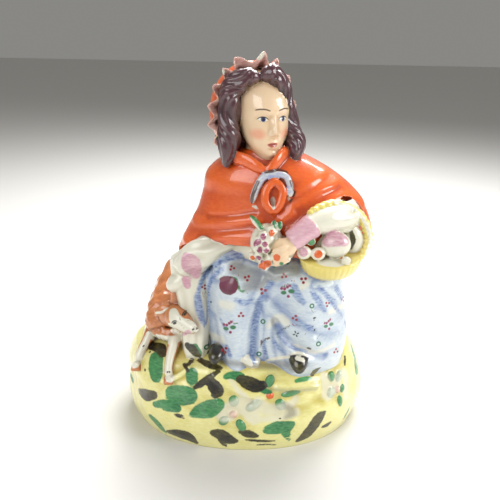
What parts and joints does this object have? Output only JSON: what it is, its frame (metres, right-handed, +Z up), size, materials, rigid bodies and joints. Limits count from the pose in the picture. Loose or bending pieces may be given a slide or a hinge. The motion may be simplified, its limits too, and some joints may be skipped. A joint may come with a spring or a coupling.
{
  "type": "staffordshire figure",
  "caption": "Glazed earthenware figure of a girl in a hooded cape, seated on a mound with a posy, a basket and a dog; one hollow casting that stands on its flat underside.",
  "frame": {"origin": "middle of the flat underside, under the centre of the figure's box", "axes": "+Z up, the figure faces -Y, +X is the viewer's right"},
  "size_m": [0.1726, 0.1192, 0.2508],
  "materials": {
    "painted_glaze": "clear lead glaze over hand-painted enamel colours"
  },
  "bodies": {
    "root": {"figure": "painted_glaze"}
  },
  "joints": []
}
